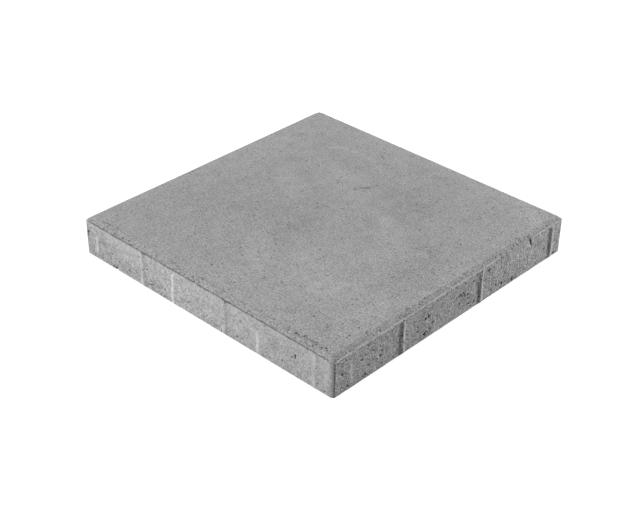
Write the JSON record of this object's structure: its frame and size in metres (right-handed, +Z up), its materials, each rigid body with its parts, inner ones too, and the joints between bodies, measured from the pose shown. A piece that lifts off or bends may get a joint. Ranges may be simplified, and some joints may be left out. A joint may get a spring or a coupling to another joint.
{
  "type": "paving slab",
  "caption": "Square grey concrete paving slab with a chamfered walking face and low upright spacer ribs on its sides, laid flat beside others of its kind.",
  "frame": {"origin": "centre of the underside, on the ground the slab lies on", "axes": "+Z up out of the walking face, X and Y square to the side faces"},
  "size_m": [0.402, 0.402, 0.05],
  "materials": {
    "concrete": "matte"
  },
  "bodies": {
    "root": {"slab": "concrete"}
  },
  "joints": []
}
